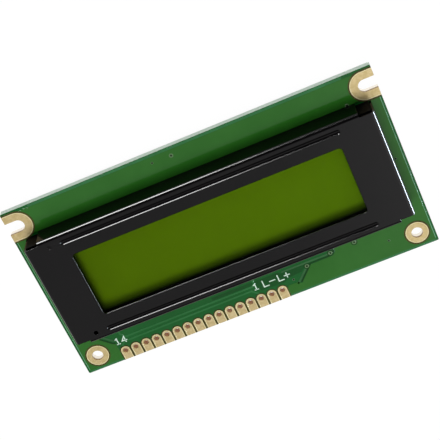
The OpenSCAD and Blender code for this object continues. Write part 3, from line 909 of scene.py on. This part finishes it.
# %% Floor
def floor_finish():
    material, tree = new_finish("pale_floor")
    path = add_node(tree, "LightPath")
    seen = add_node(tree, "Math", {
        0: path.outputs["Is Camera Ray"], 1: path.outputs["Is Glossy Ray"]
    }, operation="MAXIMUM")
    seen = add_node(tree, "Math", {
        0: seen.outputs["Value"], 1: path.outputs["Is Transmission Ray"]
    }, operation="MAXIMUM")
    facing = add_node(tree, "NewGeometry")
    glow = add_node(tree, "Emission", {"Color": linear("#ffffff"), "Strength": 0.985})
    matt = add_node(tree, "BsdfDiffuse", {"Color": linear("#2c2c2c")})
    lit = add_node(tree, "AddShader", {0: matt.outputs["BSDF"], 1: glow.outputs["Emission"]})
    plain = add_node(tree, "BsdfDiffuse", {"Color": linear("#e6e6e6")})
    top = add_node(tree, "MixShader", {
        0: seen.outputs["Value"], 1: plain.outputs["BSDF"], 2: lit.outputs["Shader"]
    })
    under = add_node(tree, "BsdfTransparent")
    both = add_node(tree, "MixShader", {
        0: facing.outputs["Backfacing"], 1: top.outputs["Shader"], 2: under.outputs["BSDF"]
    })
    close_finish(tree, both.outputs["Shader"])
    return material


floor_half = 3.0
floor_mesh = bpy.data.meshes.new("floor")
corners = [
    (-floor_half, -floor_half, 0), (floor_half, -floor_half, 0), (floor_half, floor_half, 0),
    (-floor_half, floor_half, 0),
]
floor_mesh.from_pydata(corners, [], [(0, 1, 2, 3)])
floor_mesh.materials.append(floor_finish())
floor = bpy.data.objects.new("floor", floor_mesh)
bpy.context.scene.collection.objects.link(floor)

# %% [markdown]
# The room lights matt surfaces with an even grey. Mirrors see something else: a dark room
# with a soft panel over the contact side and a bright strip low at one end. Direct looks see
# white. The ray's kind chooses between the three, and its direction places panel and strip.
# A white room in the mirrors would turn the black enamel grey.

# %% Room light
room_grey = 0.42
world = bpy.data.worlds.new("room")
bpy.context.scene.world = world
world.use_nodes = True
room = world.node_tree
room.nodes.clear()
path = add_node(room, "LightPath")
seen = add_node(room, "Math", {
    0: path.outputs["Is Camera Ray"], 1: path.outputs["Is Transmission Ray"]
}, operation="MAXIMUM")
direction = add_node(room, "TexCoord")
height = add_node(room, "SeparateXYZ", {"Vector": direction.outputs["Generated"]})
near_floor = add_node(room, "MapRange", {
    "Value": height.outputs["Z"], "From Min": 0.02, "From Max": 0.08, "To Min": 1.0, "To Max": 0.0
})
panel_near = add_node(room, "MapRange", {
    "Value": height.outputs["Y"], "From Min": -0.3, "From Max": -0.12, "To Min": 0.85, "To Max": 0.05
})
panel_far = add_node(room, "MapRange", {
    "Value": height.outputs["Y"], "From Min": -0.75, "From Max": -0.6, "To Min": 0.05, "To Max": 0.85
})
panel = add_node(room, "Math", {
    0: panel_near.outputs["Result"], 1: panel_far.outputs["Result"]
}, operation="MINIMUM")
panel_side = add_node(room, "MapRange", {
    "Value": height.outputs["X"], "From Min": -0.09, "From Max": 0.12, "To Min": 1.0, "To Max": 2.6
})
panel = add_node(room, "Math", {
    0: panel.outputs["Value"], 1: panel_side.outputs["Result"]
}, operation="MULTIPLY")
lit_side = add_node(room, "MapRange", {"Value": height.outputs["X"], "From Min": 0.3, "From Max": 0.6})
low_strip = add_node(room, "Math", {
    0: near_floor.outputs["Result"], 1: lit_side.outputs["Result"]
}, operation="MULTIPLY")
mirrored = add_node(room, "Math", {
    0: low_strip.outputs["Value"], 1: panel.outputs["Value"]
}, operation="MAXIMUM")
in_mirror = add_node(room, "Mix", {
    0: path.outputs["Is Glossy Ray"], 2: room_grey, 3: mirrored.outputs["Value"]
})
level = add_node(room, "Mix", {0: seen.outputs["Value"], 2: in_mirror.outputs[0], 3: 1.0})
sky = add_node(room, "Background", {"Color": linear("#ffffff"), "Strength": level.outputs[0]})
out = room.nodes.new("ShaderNodeOutputWorld")
room.links.new(sky.outputs["Background"], out.inputs["Surface"])

# %% [markdown]
# One wide soft lamp hangs over the contact side and gives the plain light. Its mirror image
# is switched off, as a polarizing sheet would do. Two narrow lamps behind and beside the
# module do the opposite: they show only in mirrors, and draw the bright lines on the folds.

# %% Lamps
def soft_lamp(name, towards, distance, wide, deep, watts, colour="#ffffff", mirror=True, diffuse=True):
    """A flat lamp seen from the module in the direction towards, facing the module."""
    light = bpy.data.lights.new(name, "AREA")
    light.shape = "RECTANGLE"
    light.size, light.size_y = wide, deep
    light.energy = watts
    light.color = linear(colour)[:3]
    lamp = bpy.data.objects.new(name, light)
    bpy.context.scene.collection.objects.link(lamp)
    way = Vector(towards).normalized()
    lamp.location = way * distance
    lamp.rotation_mode = "QUATERNION"
    lamp.rotation_quaternion = way.to_track_quat("Z", "Y")
    lamp.visible_glossy = mirror
    lamp.visible_diffuse = diffuse
    lamp.visible_camera = False
    print(name, "gives", watts, "W from", [round(x, 2) for x in lamp.location], "m")
    return lamp


# A flat lamp of W watts lights a white card at that distance as W cos / (pi distance) squared.
key_share, key_distance, key_cosine = 0.6, 1.2, 0.93
key_watts = key_share * math.pi**2 * key_distance**2 / key_cosine
soft_lamp("wide_soft_lamp", (-0.12, -0.33, 1.0), key_distance, 0.95, 0.6, key_watts, mirror=False)
soft_lamp("fold_line_lamp", (-0.3, 0.8, 0.2), 0.9, 0.42, 0.4, 30.0, diffuse=False)
soft_lamp("side_line_lamp", (0.89, -0.44, 0.085), 0.9, 0.36, 0.15, 34.0, colour="#def0ff", diffuse=False)

# %% [markdown]
# ## Camera
# The camera stands over the side with the open slots and looks down on the display, turned
# so that the contact row runs down to the right. Its place is given by where it aims, how
# far it is, its turn about the board, its tilt from straight above, and its roll.

# %% Camera
aim_mm = (0.39, 1.825, 3.2)
distance_mm = 277.4
turn_deg, tilt_deg, roll_deg = 70.8, 27.15, -4.39
turn, tilt, roll = (math.radians(a) for a in (turn_deg, tilt_deg, roll_deg))
back_way = Vector((math.sin(tilt) * math.cos(turn), math.sin(tilt) * math.sin(turn), math.cos(tilt)))
level_right = back_way.cross(Vector((0, 0, 1))).normalized()
level_up = back_way.cross(level_right)
right = level_right * math.cos(roll) + level_up * math.sin(roll)
up = back_way.cross(right)
eye = bpy.data.cameras.new("camera")
eye.lens, eye.sensor_width = 105.96, 36
eye.clip_start, eye.clip_end = 0.01, 10
camera = bpy.data.objects.new("camera", eye)
bpy.context.scene.collection.objects.link(camera)
camera.matrix_world = Matrix((right, up, back_way)).transposed().to_4x4()
camera.location = (Vector(aim_mm) + back_way * distance_mm) * MM
bpy.context.scene.camera = camera
bpy.context.scene.view_settings.view_transform = "Standard"
print("camera at", [round(x / MM, 1) for x in camera.location], "mm")
